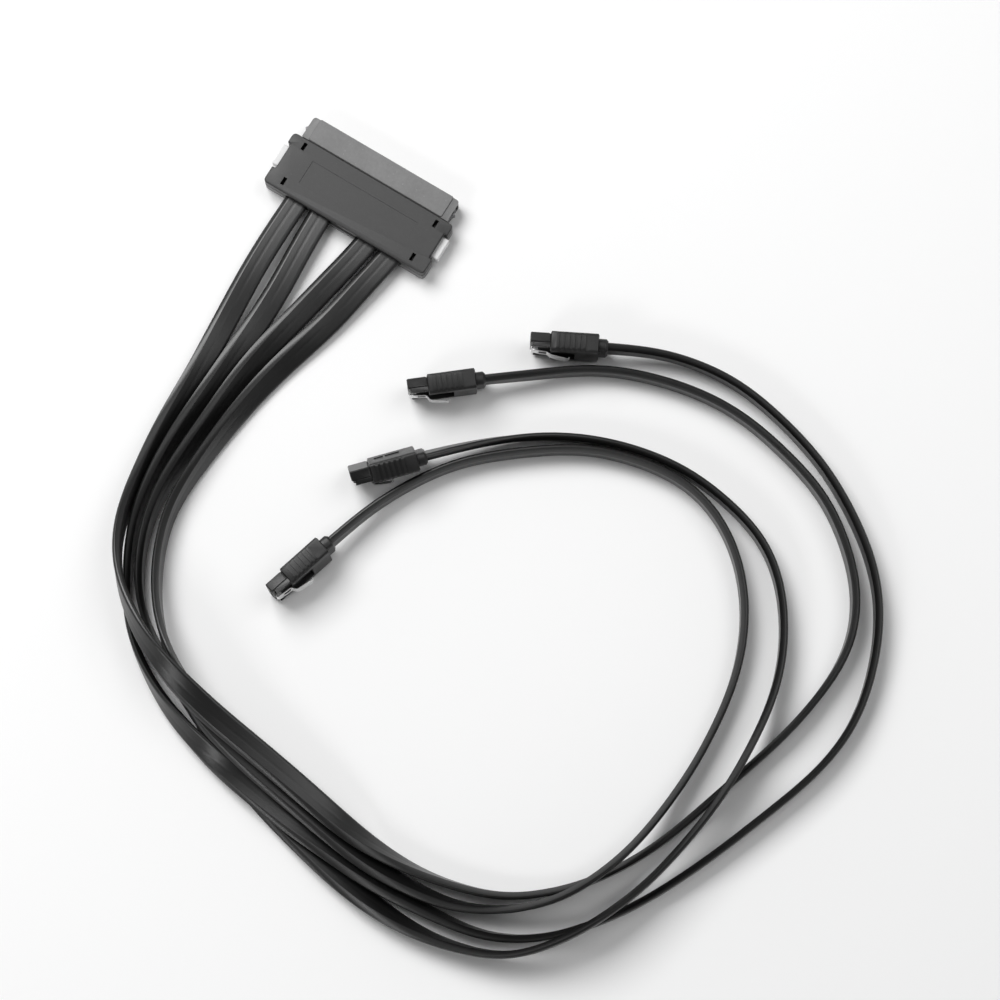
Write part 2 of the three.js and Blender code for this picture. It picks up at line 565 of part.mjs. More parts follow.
// Flat cable: a curve whose frames follow the roll of the route
class CableCurve extends THREE.CatmullRomCurve3 {
  constructor(route) {
    super(route.map(([x, y, z]) => new THREE.Vector3(x, y, z)), false, 'catmullrom', 0.5);
    this.rolls = new THREE.CatmullRomCurve3(route.map((point) => new THREE.Vector3(point[3], 0, 0)),
      false, 'catmullrom', 0.5);
  }

  computeFrenetFrames(segments) {
    const tangents = [];
    const normals = [];
    const binormals = [];
    const up = new THREE.Vector3(0, 0, 1);
    for (let i = 0; i <= segments; i += 1) {
      const u = i / segments;
      const tangent = this.getTangentAt(u);
      const side = up.clone().cross(tangent).normalize();
      const lift = tangent.clone().cross(side).normalize();
      const roll = THREE.MathUtils.degToRad(this.rolls.getPoint(this.getUtoTmapping(u)).x);
      const across = side.multiplyScalar(Math.cos(roll)).addScaledVector(lift, Math.sin(roll));
      tangents.push(tangent);
      normals.push(across);
      binormals.push(tangent.clone().cross(across).normalize());
    }
    return { tangents, normals, binormals };
  }
}

function cableSection() {
  const a = CABLE_WIDTH / 2;
  const b = CABLE_THICKNESS / 2;
  const c = CABLE_CHAMFER;
  return new THREE.Shape([[a, -b + c], [a, b - c], [a - c, b], [c - a, b], [-a, b - c], [-a, c - b],
    [c - a, -b], [a - c, -b]].map(([x, y]) => new THREE.Vector2(x, y)));
}

function flatCable(route) {
  return new THREE.ExtrudeGeometry(cableSection(), {
    steps: CABLE_STEPS,
    bevelEnabled: false,
    extrudePath: new CableCurve(route),
  });
}

// The first points of a route follow its lane when the housing's length changes
function fromLane(route, index) {
  const shift = laneX[index] - route[0][0];
  return route.map(([x, y, z, roll], j) => {
    const share = Math.max(0, Math.min(1, (LEAD_POINTS - j) / (LEAD_POINTS - 1)));
    return [x + shift * share, y, z, roll];
  });
}

ROUTES.forEach((route, i) => node(`flat_cable_${i + 1}`, flatCable(fromLane(route, i)), cableJacket()));

// Plug, in its own frame: X is the mating direction, +Y the latch side, Z its width
const bodyRear = -BODY_LENGTH / 2;
const bodyFront = BODY_LENGTH / 2;
const bodyHalfY = BODY_THICKNESS / 2;
const bodyHalfZ = BODY_WIDTH / 2;
const tongueTip = bodyFront + TONGUE_PROTRUSION;
const tailRear = bodyFront - TAIL_DEPTH;
const pocketFloor = bodyHalfY - POCKET_DEPTH;

function plugOvermould() {
  const core = plate(rectangle(-bodyHalfZ + RIB_DEPTH, bodyHalfZ - RIB_DEPTH, -bodyHalfY, bodyHalfY,
    BODY_CORNER), 0, BODY_LENGTH, EDGE_BEVEL);
  let body = core;
  const ribShape = rectangle(-bodyHalfZ, bodyHalfZ, -bodyHalfY + EDGE_BEVEL, bodyHalfY - EDGE_BEVEL,
    BODY_CORNER);
  for (let i = 0; i < RIB_COUNT; i += 1) {
    const start = BODY_LENGTH - RIB_FRONT_MARGIN - i * RIB_PITCH - RIB_WIDTH;
    body = body.add(plate(ribShape, start, start + RIB_WIDTH, 0));
  }
  const neck = plate(rectangle(-PLUG_NECK_WIDTH / 2, PLUG_NECK_WIDTH / 2, -PLUG_NECK_THICKNESS / 2,
    PLUG_NECK_THICKNESS / 2, PLUG_NECK_CORNER), -PLUG_NECK_LENGTH, PLUG_NECK_BEVEL, PLUG_NECK_BEVEL);
  body = body.add(neck);
  // Drawn with X across, Y thick and Z along; turned so that Z becomes the mating direction
  body = body.rotate([0, 90, 0]).translate([bodyRear, 0, 0]);
  const tailCut = block(tailRear - FIT_GAP, bodyFront + CUT_MARGIN, TAIL_LOW - FIT_GAP,
    TAIL_HIGH + FIT_GAP, -TAIL_WIDTH / 2 - FIT_GAP, TAIL_WIDTH / 2 + FIT_GAP);
  const pocket = block(bodyFront - POCKET_LENGTH, bodyFront + CUT_MARGIN, pocketFloor,
    bodyHalfY + CUT_MARGIN, -POCKET_WIDTH / 2, POCKET_WIDTH / 2);
  const cutters = [tailCut, pocket];
  PANELS.forEach(({ length, setback }) => {
    cutters.push(block(bodyFront - setback - length, bodyFront - setback, -bodyHalfY - CUT_MARGIN,
      -bodyHalfY + PANEL_DEPTH, -PANEL_WIDTH / 2, PANEL_WIDTH / 2));
  });
  return geometryOf(cutAll(body, cutters));
}

function plugCarrier() {
  const halfWidth = TONGUE_WIDTH / 2;
  const tongueRear = bodyFront + FIT_GAP;
  const tongue = plate(rectangle(-halfWidth, halfWidth, TONGUE_LOW, TONGUE_HIGH, EDGE_BEVEL),
    tongueRear, tongueTip, EDGE_BEVEL, 1).rotate([0, 90, 0]);
  const tail = block(tailRear, tongueRear + CUT_MARGIN, TAIL_LOW, TAIL_HIGH,
    -TAIL_WIDTH / 2, TAIL_WIDTH / 2);
  let body = tongue.add(tail);
  [-1, 1].forEach((end) => {
    const rail = [end * halfWidth, end * (halfWidth - RAIL_WIDTH)].sort((a, b) => a - b);
    body = body.add(block(tongueRear, tongueTip - SPRING_FOLD, TONGUE_HIGH - CUT_MARGIN, RAIL_TOP,
      rail[0], rail[1]));
    const groove = [end * (halfWidth - RAIL_GROOVE), end * (halfWidth + CUT_MARGIN)].sort((a, b) => a - b);
    body = body.subtract(block(tongueRear - CUT_MARGIN, tongueTip + CUT_MARGIN, TONGUE_HIGH - RAIL_GROOVE,
      TONGUE_HIGH, groove[0], groove[1]));
  });
  const slot = block(tailRear - CUT_MARGIN, tongueTip + CUT_MARGIN, KEY_SLOT_LOW, KEY_SLOT_HIGH,
    -KEY_SLOT_WIDTH / 2, KEY_SLOT_WIDTH / 2);
  const foot = block(tongueRear + CUT_MARGIN, tongueTip + CUT_MARGIN, KEY_SLOT_LOW - KEY_FOOT_DEPTH,
    KEY_SLOT_HIGH, -KEY_SLOT_WIDTH / 2, -KEY_SLOT_WIDTH / 2 + KEY_FOOT_WIDTH);
  return geometryOf(body.subtract(slot).subtract(foot));
}

function plugContacts() {
  const low = KEY_SLOT_LOW + FIT_GAP;
  const barFront = tailRear + FIT_GAP + PLUG_BAR_DEPTH;
  let body = block(tailRear + FIT_GAP, barFront, low, low + PLUG_BAR_HEIGHT,
    -PLUG_BAR_WIDTH / 2, PLUG_BAR_WIDTH / 2);
  for (let i = 0; i < PLUG_CONTACTS; i += 1) {
    const z = (i - (PLUG_CONTACTS - 1) / 2) * PLUG_CONTACT_PITCH;
    body = body.add(block(barFront - CUT_MARGIN, tongueTip - PLUG_CONTACT_SETBACK, low,
      low + PLUG_CONTACT_THICKNESS, z - PLUG_CONTACT_WIDTH / 2, z + PLUG_CONTACT_WIDTH / 2));
  }
  return geometryOf(body);
}

// The strip lies in the groove between the rails, folds back at the tip and rises over the pocket
const springLow = TONGUE_HIGH + FIT_GAP + SPRING_THICKNESS / 2;
const springHigh = springLow + SPRING_FOLD;
const foldFront = tongueTip - SPRING_FOLD_SETBACK - SPRING_THICKNESS / 2;
const foldRear = foldFront - SPRING_FOLD / 2;
const springStep = bodyFront + 2 * FIT_GAP;
const springEnd = bodyFront - SPRING_END_SETBACK;

function plugSpring(standOff) {
  const top = bodyHalfY + standOff;
  const back = springHigh + SPRING_BACK_RISE;
  const reach = springStep - springEnd;
  const line = [
    [foldRear - SPRING_ROOT_LENGTH, springLow], [foldRear, springLow],
    [foldFront, springLow + SPRING_FOLD / 4], [foldFront, springHigh - SPRING_FOLD / 4],
    [foldRear, springHigh], [springStep + EDGE_BEVEL, back], [springStep - reach / 6, (back + 2 * top) / 3],
    [springStep - reach / 2, top - EDGE_BEVEL], [springEnd + 2 * EDGE_BEVEL, top],
    [springEnd, top - 2 * EDGE_BEVEL],
  ];
  return geometryOf(plate(stripShape(line, SPRING_THICKNESS), -SPRING_WIDTH / 2, SPRING_WIDTH / 2, 0));
}

const overmould = plugOvermould();
const carrier = plugCarrier();
const contacts = plugContacts();

PLUGS.forEach((place, i) => {
  const lean = THREE.MathUtils.degToRad(place.lean);
  const height = bodyHalfZ * Math.cos(lean) + bodyHalfY * Math.abs(Math.sin(lean));
  const group = new THREE.Group();
  group.position.set(place.x, place.y, height);
  group.rotation.set(-lean, 0, THREE.MathUtils.degToRad(place.heading), 'ZYX');
  root.add(group);
  node(`plug_${i + 1}_overmould`, overmould.clone(), plugRubber(), group);
  node(`plug_${i + 1}_contact_carrier`, carrier.clone(), carrierPlastic(), group);
  node(`plug_${i + 1}_contacts`, contacts.clone(), contactBrass(), group);
  node(`plug_${i + 1}_latch_spring`, plugSpring(place.standOff), springSteel(), group);
});

export default root;
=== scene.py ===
import json

import bmesh
import bpy
import numpy as np
from mathutils import Matrix, Vector


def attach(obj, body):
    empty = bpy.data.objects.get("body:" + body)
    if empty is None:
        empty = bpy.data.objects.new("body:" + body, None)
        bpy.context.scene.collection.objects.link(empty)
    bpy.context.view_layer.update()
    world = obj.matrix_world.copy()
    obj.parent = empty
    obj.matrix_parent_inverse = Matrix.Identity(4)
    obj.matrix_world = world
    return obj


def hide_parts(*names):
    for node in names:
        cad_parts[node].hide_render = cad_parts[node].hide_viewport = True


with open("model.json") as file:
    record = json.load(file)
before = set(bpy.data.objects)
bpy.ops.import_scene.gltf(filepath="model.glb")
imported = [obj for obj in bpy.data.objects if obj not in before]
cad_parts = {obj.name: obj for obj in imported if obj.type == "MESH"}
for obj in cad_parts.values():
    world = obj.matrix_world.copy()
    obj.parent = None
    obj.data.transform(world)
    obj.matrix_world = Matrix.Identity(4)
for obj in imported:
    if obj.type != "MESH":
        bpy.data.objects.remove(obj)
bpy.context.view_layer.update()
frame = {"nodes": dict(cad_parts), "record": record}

bl_info = {
    "name": "Four-lane breakout cable",
    "version": (1, 0, 0),
    "blender": (4, 5, 0),
    "location": "3D View > Sidebar > Breakout Cable",
    "description": "Builds a wide latching connector with four flat cables and four keyed plugs",
    "category": "Add Mesh",
}

MM = 0.001
UP = np.array([0.0, 0.0, 1.0])

# Camera, in millimetres: level with the picture's centre, tilted eleven degrees from straight down
CAMERA_PLACE = (188.3, -221.8, 981.6)
CAMERA_TARGET = (89.3, -58.7, 0.0)
CAMERA_RIGHT = (0.855, 0.519, 0.0)
CAMERA_LENS = 112.5

# Stage: the floor's half-size in metres, and the soft boxes as name, direction on the picture
# (right, up), height, size and power
FLOOR_HALF = 1.6
SOFT_BOXES = (
    ("key", (-0.6, 0.7), 1.2, 0.9, 20.5),
    ("fill", (-0.8, -0.75), 0.8, 0.32, 2.4),
    ("side", (0.7, 0.3), 1.2, 0.9, 4.4),
)

# How a solid's mesh is dressed: vertices closer than this are one (metres), and the angles in
# degrees from which an edge shades sharp and is rounded
WELD_DISTANCE = 2e-6
SHARP_ANGLE = 40.0
ROUNDED_ANGLE = 32.0

# Flat cable
CABLE_WIDTH = 8.0
CABLE_THICKNESS = 2.4
CABLE_EDGE_ROUND = 0.95
CABLE_GROOVE_DEPTH = 0.04
CABLE_GROOVE_WIDTH = 0.35
CABLE_RING_STEP = 1.5
CABLE_EASE = 7.0
CABLE_TAIL = 1.6
CABLE_SIDE_POINTS = 15
CABLE_ROUND_POINTS = 5
ROUTE_SAMPLES = 60

# Where each plug lies: middle of its overmould, heading and lean in degrees, spring stand-off
PLUG_PLACES = (
    (84.4, -4.6, -152.5, 0.0, 1.2),
    (57.3, -35.6, -140.8, 3.0, 2.0),
    (55.2, -67.8, -133.0, 22.0, 1.8),
    (48.4, -109.5, -106.3, -3.5, 2.0),
)

PLUG_HALF_WIDTH = 7.0
PLUG_HALF_THICKNESS = 3.3
PLUG_BODY_FRONT = 7.75
PLUG_RIM_TOLERANCE = 0.05
PLUG_RIM_HALF_THICKNESS = 2.6
PLUG_RIM_HALF_WIDTH = 5.9
PLUG_RIM_DRAWN_IN = (0.35, 0.5)
NOSE_GAP = 0.2
NOSE_GAP_TOLERANCE = 0.25
NOSE_SUNK = 0.1
SPRING_LOW = 1.175
SPRING_STRIP = 0.3
SPRING_SAMPLES = 8

# Cable centre lines in millimetres: x, y, z and roll in degrees, from the connector to the plug
ROUTE_1 = (
    (-17.9, -6.5, 3.7, 0), (-18.3, -20, 3.7, -1), (-18, -37, 3.7, -4), (-16.5, -57, 2.9, -14),
    (-15, -79, 3.1, -34), (-15, -90.5, 3.6, -45), (-13, -110, 5.4, -64), (-10, -126, 8.4, -78),
    (-5, -137, 11.2, -88), (2.5, -146, 12.9, -98), (11.5, -152.5, 15.2, -112),
    (22, -158.5, 17.2, -135), (35, -162.5, 15.9, -158), (48.5, -165.5, 13.3, -176),
    (70, -168.5, 11.1, -185), (89, -171.5, 10.1, -196), (104.5, -174, 8, -213),
    (116, -174.5, 5.7, -236), (126.5, -174, 4.5, -252), (136.5, -172.5, 4.1, -262),
    (155, -167, 4.1, -265), (169, -156.5, 4.1, -268), (176.5, -148.5, 4.1, -270),
    (186, -133.5, 4.1, -270), (192, -119, 4.1, -270), (199, -97, 4.1, -270),
    (204.5, -80, 4.1, -270), (208, -63, 4.1, -270), (209, -45.5, 4.1, -268),
    (204.5, -31, 4.1, -267), (195.5, -19, 4.1, -266), (179, -6, 4.1, -267), (162, 0, 4.1, -268),
    (142, 4, 4.1, -270), (123.5, 3, 4.1, -270), (103.5, -2.5, 4.1, -270), (90, -9.5, 4.3, -270),
    (77.5, -19.5, 5.6, -271), (70.5, -24.9, 6.95, -272), (65.9, -28.6, 7.2, -273),
)
ROUTE_2 = (
    (-9, -6.5, 3.7, 0), (-8.7, -20, 3.65, 0), (-7.5, -36.5, 3.2, -4), (-7.5, -50, 2.9, -14),
    (-8.5, -73.5, 3.1, -38), (-9.5, -90.5, 3.6, -51), (-9.5, -103, 3.8, -62),
    (-8.5, -115, 4.1, -72), (-6, -126.5, 4.1, -81), (-2, -136, 4.1, -88), (7.5, -151.5, 4.1, -92),
    (14, -158.5, 4.1, -93), (24.5, -165.5, 4.2, -97), (33, -170, 4.2, -110), (41.5, -173, 4, -128),
    (53, -176, 4.7, -148), (66, -178, 4.5, -176), (83.5, -180.5, 4.5, -190),
    (97.5, -181.5, 4.5, -204), (114, -183, 3.7, -222), (124.5, -183.5, 3.9, -237),
    (152.5, -181, 4.2, -258), (161.5, -178, 4.1, -262), (173, -171, 4.1, -266),
    (185, -158, 4.1, -270), (193.5, -145.5, 4.1, -270), (203, -126.5, 4.1, -270),
    (212, -104, 4.1, -270), (220, -81, 4.1, -270), (222, -61.5, 4.1, -270),
    (217.5, -42, 4.1, -269), (210.5, -27, 4.1, -268), (201, -15.5, 4.1, -267),
    (188, -5.5, 4.1, -267), (172, 3.5, 4.1, -268), (153, 9.5, 4.1, -270), (133.5, 12.5, 4.2, -271),
    (113, 9.5, 4.9, -273), (99.5, 3.3, 6.85, -271), (94.2, 0.5, 7.05, -270),
)
ROUTE_3 = (
    (9, -6.5, 3.7, 0), (8.9, -10.5, 3.7, 0), (6.5, -21.5, 3.7, -3), (3, -38.5, 2.9, -14),
    (-2, -64, 3.1, -37), (-3.5, -87, 3.6, -52), (-4.5, -100, 3.8, -62), (-4.5, -112.5, 4.1, -71),
    (-2.5, -124.5, 4.1, -80), (2.5, -136.5, 4.1, -86), (8.5, -146, 4.1, -89),
    (20, -155.5, 4, -100), (28, -160, 3.6, -122), (35.5, -162.5, 2.9, -148),
    (43.5, -165.5, 2.3, -165), (68.5, -177.5, 1.6, -178), (94, -184.5, 2.2, -194),
    (113, -188.5, 2.8, -207), (128.5, -190, 3.7, -228), (144.5, -189, 4.2, -252),
    (164.5, -183, 7.3, -266), (174, -174.5, 10.7, -269), (182.5, -162.5, 13.2, -270),
    (187, -153, 12.6, -270), (192, -140, 11, -270), (196, -121, 10.6, -270),
    (198, -105, 12.6, -270), (198, -91, 12, -270), (197, -75.5, 7.5, -270), (194, -61, 5, -270),
    (186.5, -45.5, 4.1, -269), (176, -33, 4.1, -268), (163.5, -25.5, 4.1, -269),
    (142, -21, 4.1, -270), (126.5, -21.5, 4.1, -271), (109.5, -25.5, 4.1, -273),
    (93, -33, 4.3, -277), (78.5, -43.8, 5.3, -284), (66.8, -55.4, 7.55, -291),
    (62.7, -59.7, 7.75, -292),
)
ROUTE_4 = (
    (17.7, -6.5, 3.7, 0), (17.6, -10.5, 3.7, 0), (15, -21.5, 3.7, -3), (12.5, -37, 2.9, -13),
    (6, -61, 3.1, -37), (2.5, -83, 3.6, -52), (1, -109.5, 4.1, -71), (2.5, -121.5, 4.1, -79),
    (7.5, -133.5, 5, -82), (12, -141, 7, -84), (18.5, -149, 9.6, -88), (26.5, -156, 12.5, -98),
    (33.5, -161, 11.8, -122), (41, -164.5, 10.2, -152), (50, -168, 9.1, -174),
    (70.5, -172.5, 8, -184), (90.5, -175.5, 6.8, -194), (113.5, -179, 5.4, -216),
    (128, -179, 4.5, -236), (140, -178, 4.2, -250), (149, -175, 4.8, -258),
    (157.5, -170.5, 6.2, -264), (167.5, -162.5, 9.3, -268), (174, -154, 12.9, -270),
    (179, -143.5, 14, -270), (183, -129.5, 9.6, -270), (185.5, -108.5, 5.2, -270),
    (185.5, -91, 4.1, -270), (183, -70.5, 4.1, -270), (176, -52, 4.1, -269),
    (164.5, -37, 4.1, -268), (150.5, -27.5, 4.1, -269), (135, -24, 4.1, -270),
    (116, -27, 4.1, -270), (99.5, -34, 4.1, -270), (74.5, -53.5, 4.1, -270),
    (63.5, -68.5, 4.3, -270), (56.5, -82.5, 5.4, -269), (53.2, -93.2, 6.95, -267),
    (51.5, -98.9, 7.2, -266.5),
)
ROUTES = (ROUTE_1, ROUTE_2, ROUTE_3, ROUTE_4)


# Shader maths
class Socket:
    """One output of a shader node, or a number, that takes part in Python arithmetic."""

    def __init__(self, tree, source):
        self.tree = tree
        self.source = source

    def _math(self, operation, first, second=None):
        math = self.tree.nodes.new("ShaderNodeMath")
        math.operation = operation
        for index, value in enumerate((first, second)):
            if value is not None:
                connect(self.tree, math.inputs[index], value)
        return Socket(self.tree, math.outputs[0])

    def __add__(self, other):
        return self._math("ADD", self, other)

    def __rsub__(self, other):
        return self._math("SUBTRACT", other, self)

    def __mul__(self, other):
        return self._math("MULTIPLY", self, other)

    def __pow__(self, other):
        return self._math("POWER", self, other)

    def __abs__(self):
        return self._math("ABSOLUTE", self)


def connect(tree, target, value):
    """Links a socket, or sets a plain value, on one input of a node."""
    if isinstance(value, Socket):
        tree.links.new(value.source, target)
    elif hasattr(target.default_value, "__len__") and not hasattr(value, "__len__"):
        target.default_value = (value,) * len(target.default_value)
    elif hasattr(value, "__len__") and len(value) == 3 and len(target.default_value) == 4:
        target.default_value = (*value, 1.0)
    else:
        target.default_value = value


class Finish:
    """A node material under construction; node() adds any node and returns one of its outputs."""

    def __init__(self, name):
        self.material = bpy.data.materials.new(name)
        self.material.use_nodes = True
        self.tree = self.material.node_tree
        self.shader = self.tree.nodes["Principled BSDF"]

    def node(self, kind, settings=None, inputs=None, output=0):
        made = self.tree.nodes.new(kind)
        for key, value in (settings or {}).items():
            if key == "stops":
                ramp = made.color_ramp
                while len(ramp.elements) < len(value):
                    ramp.elements.new(0.5)
                for element, (position, color) in zip(ramp.elements, value):
                    element.position = position
                    element.color = (*color, 1.0)
            else:
                setattr(made, key, value)
        for key, value in (inputs or {}).items():
            connect(self.tree, made.inputs[key], value)
        return Socket(self.tree, made.outputs[output])

    def set(self, **values):
        for key, value in values.items():
            connect(self.tree, self.shader.inputs[key.replace("_", " ")], value)

    def place(self):
        return self.node("ShaderNodeTexCoord", output="Object")

    def noise(self, vector, scale, detail=3.0, roughness=0.5):
        inputs = {"Vector": vector, "Scale": scale, "Detail": detail, "Roughness": roughness}
        return self.node("ShaderNodeTexNoise", None, inputs)

    def mix(self, mask, low, high):
        inputs = {0: mask, 6: low, 7: high}
        return self.node("ShaderNodeMix", {"data_type": "RGBA"}, inputs, 2)

    def bump(self, height, distance, strength=1.0):
        inputs = {"Height": height, "Distance": distance, "Strength": strength}
        return self.node("ShaderNodeBump", None, inputs)


def grey(value):
    """A neutral colour."""
    return (value, value, value)


def moulded_plastic(name, tone, roughness, grain=1.0, blotch=0.16):
    """Matte moulded plastic: cloudy tone variation, fine spark-eroded grain, pale dust specks."""
    finish = Finish(name)
    place = finish.place()
    cloud = finish.noise(place, 110.0, 4.0, 0.6)
    grain_fine = finish.noise(place, 5200.0, 2.0, 0.7)
    grain_coarse = finish.noise(place, 1700.0, 3.0, 0.6)
    specks = finish.node(
        "ShaderNodeValToRGB",
        {"stops": ((0.0, (0, 0, 0)), (0.70, (0, 0, 0)), (0.78, (1, 1, 1)))},
        {"Fac": finish.noise(place, 1500.0, 1.0, 0.4)},
    )
    mottle = cloud * 0.6 + finish.noise(place, 900.0, 3.0, 0.7) * 0.4
    shade = finish.mix(mottle, grey(tone * (1 - 2 * blotch)), grey(tone * (1 + 2 * blotch)))
    dusty = finish.mix(specks * 0.22, shade, grey(min(1.0, tone * 3.2)))
    height = grain_fine * 0.5 + grain_coarse * 0.5
    finish.set(
        Base_Color=dusty,
        Roughness=mottle * 0.2 + (roughness - 0.1),
        Normal=finish.bump(height, 0.00004 * grain, 0.6),
    )
    finish.shader.inputs["Specular IOR Level"].default_value = 0.4
    return finish.material


def cable_jacket(name, tone):
    """Extruded jacket: lengthwise draw lines from the piece's own UV, with a satin skin."""
    finish = Finish(name)
    uv = finish.node("ShaderNodeUVMap", {"uv_map": "run"})
    stretched = finish.node(
        "ShaderNodeMapping", {"vector_type": "POINT"}, {"Vector": uv, "Scale": (5.0, 70.0, 1.0)}
    )
    lines = finish.noise(stretched, 1.0, 3.0, 0.6)
    patches = finish.noise(finish.place(), 90.0, 3.0, 0.5)
    grain = finish.noise(finish.place(), 3000.0, 2.0, 0.6)
    shade = finish.mix(lines * 0.7 + patches * 0.3, grey(tone * 0.6), grey(tone * 1.5))
    finish.set(
        Base_Color=shade,
        Roughness=patches * 0.12 + lines * 0.16 + 0.21,
        Normal=finish.bump(lines * 0.8 + grain * 0.2, 0.00002, 0.5),
    )
    finish.shader.inputs["Specular IOR Level"].default_value = 0.6
    return finish.material


def brushed_metal(name, tone, roughness, scale=(400.0, 400.0, 6000.0)):
    """Rolled strip metal: fine rolling lines and a little tarnish in patches."""
    finish = Finish(name)
    place = finish.place()
    rolled = finish.node("ShaderNodeMapping", {"vector_type": "POINT"}, {"Vector": place, "Scale": scale})
    lines = finish.noise(rolled, 1.0, 2.0, 0.6)
    tarnish = finish.noise(place, 700.0, 3.0, 0.6)
    dark = tuple(channel * 0.72 for channel in tone)
    finish.set(
        Base_Color=finish.mix(tarnish, tone, dark),
        Roughness=lines * 0.12 + tarnish * 0.1 + (roughness - 0.08),
        Normal=finish.bump(lines, 0.00001, 0.4),
        Metallic=1.0,
    )
    return finish.material


# Surfaces
def shade_by_angle(mesh, degrees):
    mesh.polygons.foreach_set("use_smooth", [True] * len(mesh.polygons))
    mesh.set_sharp_from_angle(angle=np.radians(degrees))
    mesh.update()


def show(name, mesh, material, body):
    """Puts a mesh in the scene as a piece that rides on a body."""
    piece = bpy.data.objects.new(name, mesh)
    bpy.context.scene.collection.objects.link(piece)
    mesh.materials.append(material)
    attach(piece, body)
    return piece


def tube_mesh(name, rings, lengths, around):
    """Closed tube from rings of points (n, m, 3): a quad between each pair of neighbours on
    neighbouring rings, and one face over each end. The UV map 'run' holds metres along and the
    share of the way around."""
    count, points = rings.shape[:2]
    first = np.arange(count - 1)[:, None] * points
    here = np.arange(points)[None, :]
    after = (here + 1) % points
    quads = np.stack(
        (first + here, first + after, first + points + after, first + points + here), axis=-1
    ).reshape(-1, 4)
    caps = [list(range(points))[::-1], [(count - 1) * points + i for i in range(points)]]
    mesh = bpy.data.meshes.new(name)
    mesh.from_pydata(rings.reshape(-1, 3).tolist(), [], quads.tolist() + caps)
    along = np.repeat(lengths, points)
    turn = np.tile(around, count)
    layer = mesh.uv_layers.new(name="run")
    loops = np.empty(len(mesh.loops), dtype=np.int32)
    mesh.loops.foreach_get("vertex_index", loops)
    layer.data.foreach_set("uv", np.stack((along[loops], turn[loops]), axis=1).astype(np.float32).ravel())
    mesh.validate()
    return mesh


def sheet_mesh(name, grid, keep):
    """Sheet from a grid of points (n, m, 3): a quad between each four neighbours that keep marks."""
    rows, columns = grid.shape[:2]
    index = np.arange(rows * columns).reshape(rows, columns)
    quads = np.stack((index[:-1, :-1], index[1:, :-1], index[1:, 1:], index[:-1, 1:]), axis=-1)
    mesh = bpy.data.meshes.new(name)
    mesh.from_pydata(grid.reshape(-1, 3).tolist(), [], quads[keep].tolist())
    shade_by_angle(mesh, 45.0)
    return mesh


def plug_frame(number):
    """Middle of one plug's overmould in millimetres, and the turn from the plug's own axes to the
    row frame. The plug stands on its narrow side, turned about its length by the lean and about
    the upright by the heading."""
    x, y, heading, lean, _ = PLUG_PLACES[number - 1]
    lean = np.radians(lean)
    height = PLUG_HALF_WIDTH * np.cos(lean) + PLUG_HALF_THICKNESS * abs(np.sin(lean))
    turn = Matrix.Rotation(np.radians(heading), 3, "Z") @ Matrix.Rotation(-lean, 3, "X")
    return np.array((x, y, height)), np.array(turn)


def to_row(points, number):
    """Points in one plug's own frame, in millimetres, to the row frame in metres."""
    origin, turn = plug_frame(number)
    return (points @ turn.T + origin) * MM


def reshape(piece, number, change):
    """Lets change() edit the vertices of a plug's piece, as points in millimetres in the plug's
    own frame."""
    mesh = piece.data
    points = np.empty(len(mesh.vertices) * 3)
    mesh.vertices.foreach_get("co", points)
    origin, turn = plug_frame(number)
    local = (points.reshape(-1, 3) / MM - origin) @ turn
    change(local)
    mesh.vertices.foreach_set("co", to_row(local, number).ravel())
    mesh.update()


def catmull_rom(points, parameter):
    """Uniform Catmull-Rom curve through the points, tension one half, its ends carried on in a
    straight line, at parameters from 0 to the number of spans."""
    padded = np.vstack((2 * points[0] - points[1], points, 2 * points[-1] - points[-2]))
    span = np.minimum(parameter.astype(int), len(points) - 2)
    share = (parameter - span)[:, None]
    before, start, end, after = (padded[span + k] for k in range(4))
    leave = (end - before) / 2
    arrive = (after - start) / 2
    return (
        (2 * start - 2 * end + leave + arrive) * share**3
        + (3 * end - 3 * start - 2 * leave - arrive) * share**2
        + leave * share
        + start
    )


def unit(vectors):
    return vectors / np.linalg.norm(vectors, axis=-1, keepdims=True)


def eased(line, reach):
    """Each point becomes the average of its neighbours, weighted by a bell curve with the given
    reach in points. Both ends are carried on by turning the line about its end point, so they
    keep their place and direction."""
    wide = int(4 * reach)
    before = 2 * line[0] - line[wide:0:-1]
    after = 2 * line[-1] - line[-2 : -wide - 2 : -1]
    padded = np.vstack((before, line, after))
    weights = np.exp(-0.5 * (np.arange(-wide, wide + 1) / reach) ** 2)
    weights /= weights.sum()
    return np.stack([np.convolve(padded[:, k], weights, "valid") for k in range(line.shape[1])], axis=1)


def route_frames(route, step):
    """Points at equal steps along a route, the cable's width and face directions there, and the
    distance travelled. Width turns by the roll about the direction of travel, from level."""
    points = np.array(route, dtype=float)
    fine = catmull_rom(points, np.linspace(0, len(points) - 1, ROUTE_SAMPLES * len(points)))
    travelled = np.concatenate(([0], np.cumsum(np.linalg.norm(np.diff(fine[:, :3], axis=0), axis=1))))
    count = int(travelled[-1] / step) + 1
    stations = np.linspace(0, travelled[-1], count)
    line = np.stack([np.interp(stations, travelled, fine[:, k]) for k in range(4)], axis=1)
    line = eased(line, CABLE_EASE / step)
    last = line[-1] - line[-2]
    line = np.vstack((line, line[-1] + last * CABLE_TAIL / np.linalg.norm(last[:3])))
    stations = np.append(stations, stations[-1] + CABLE_TAIL)
    travel = unit(np.gradient(line[:, :3], axis=0))
    side = unit(np.cross(UP, travel))
    lift = np.cross(travel, side)
    roll = np.radians(line[:, 3:4])
    width = np.cos(roll) * side + np.sin(roll) * lift
    return line[:, :3], width, np.cross(travel, width), stations


